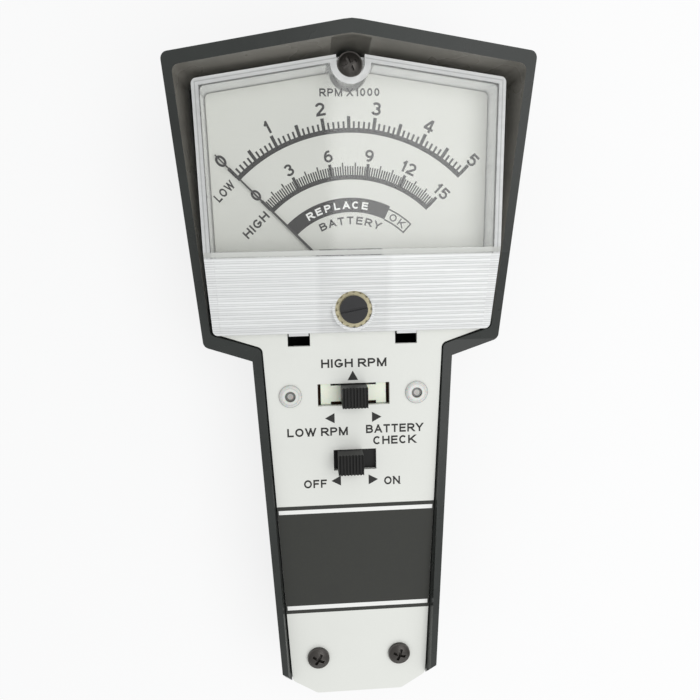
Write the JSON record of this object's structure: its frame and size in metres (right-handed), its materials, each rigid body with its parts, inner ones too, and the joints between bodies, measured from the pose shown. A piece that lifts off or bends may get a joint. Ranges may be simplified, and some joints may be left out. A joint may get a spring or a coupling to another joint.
{
  "type": "hand-held engine tachometer",
  "caption": "Hand-held engine tachometer: needle meter under a clear ribbed cover in a flared black tray, with range and power slide switches on its handle.",
  "frame": {"origin": "centre of the bounding box in X and Y, on the flat back of the housing", "axes": "+X to the right as the dial is read, +Y from the handle to the head, +Z out of the face"},
  "size_m": [0.097, 0.1988, 0.0485],
  "materials": {
    "housing_plastic": "fine satin grain",
    "panel_plastic": "satin",
    "blackened_steel": "satin black",
    "clear_plastic": "clear, polished",
    "dial_metal": "fine brushed, satin",
    "nylon": "translucent",
    "knob_plastic": "satin",
    "ivory_plastic": "satin",
    "bronze": "bright",
    "steel": "satin",
    "phenolic": "satin",
    "tinned_metal": "dull",
    "pointer_paint": "matt black",
    "copper": "satin",
    "brass": "satin",
    "screw_plastic": "satin",
    "soft_iron": "machined",
    "magnet": "as cast",
    "board": "lacquered",
    "black_epoxy": "matt",
    "resistor_body": "lacquered",
    "blue_sleeve": "gloss",
    "ceramic_disc": "dipped",
    "grey_lead": "gloss",
    "battery_case": "gloss",
    "snap_vinyl": "satin",
    "foam": "open cell",
    "red_lead": "gloss",
    "black_lead": "gloss",
    "yellow_lead": "gloss",
    "green_lead": "gloss"
  },
  "bodies": {
    "case": {"housing": "housing_plastic", "front_panel": "panel_plastic", "panel_screws": "blackened_steel", "cover_screw": "blackened_steel", "window_cover": "clear_plastic", "dial_plate": "dial_metal", "panel_rivets": "nylon", "range_frame": "steel", "range_base": "phenolic", "range_terminals": "tinned_metal", "power_frame": "steel", "power_base": "phenolic", "power_terminals": "tinned_metal", "upper_hairspring": "bronze", "lower_hairspring": "bronze", "zero_bushing": "brass", "upper_bridge": "brass", "lower_bridge": "brass", "upper_jewel_screw": "brass", "lower_jewel_screw": "brass", "pointer_stops": "brass", "iron_core": "soft_iron", "core_bracket": "brass", "left_pole_piece": "soft_iron", "right_pole_piece": "soft_iron", "field_magnet": "magnet", "meter_frame": "phenolic", "meter_screws": "steel", "circuit_board": "board", "pulse_chip": "black_epoxy", "resistors": "resistor_body", "filter_capacitor": "blue_sleeve", "disc_capacitors": "ceramic_disc", "trimmers": "blue_sleeve", "transistor": "black_epoxy", "pickup_plate": "copper", "pickup_lead": "grey_lead", "battery": "battery_case", "battery_snap": "snap_vinyl", "battery_pad": "foam", "positive_lead": "red_lead", "negative_lead": "black_lead", "left_meter_lead": "yellow_lead", "right_meter_lead": "green_lead"},
    "movement": {"pointer": "pointer_paint", "moving_coil": "copper", "pivot_staff": "steel", "balance_weights": "brass"},
    "range_slider": {"range_knob": "knob_plastic", "range_carriage": "ivory_plastic", "range_contact": "bronze"},
    "power_slider": {"power_knob": "knob_plastic", "power_contact": "bronze"},
    "zero_screw_turn": {"zero_screw": "screw_plastic"},
    "zero_lever_swing": {"zero_lever": "brass"}
  },
  "joints": [
    {"name": "pointer_swing", "type": "hinge", "parent": "case", "child": "movement", "pos_m": [0, 0.02967, 0.0295], "axis": [0, 0, -1], "range_deg": [-2, 91], "stiffness_Nm_per_rad": 0.00002},
    {"name": "range_slide", "type": "slide", "parent": "case", "child": "range_slider", "axis": [1, 0, 0], "range_m": [-0.00318, 0.00318]},
    {"name": "power_slide", "type": "slide", "parent": "case", "child": "power_slider", "axis": [1, 0, 0], "range_m": [0, 0.00318]},
    {"name": "zero_adjust", "type": "hinge", "parent": "case", "child": "zero_screw_turn", "pos_m": [0, 0.02447, 0.0345], "axis": [0, 0, 1], "range_deg": [-45, 45]},
    {"name": "zero_lever_turn", "type": "hinge", "parent": "case", "child": "zero_lever_swing", "pos_m": [0, 0.02967, 0.0315], "axis": [0, 0, 1], "range_deg": [-9, 9]}
  ],
  "couplings": [
    {"joint": "zero_lever_turn", "follows": "zero_adjust", "ratio": -0.185}
  ]
}
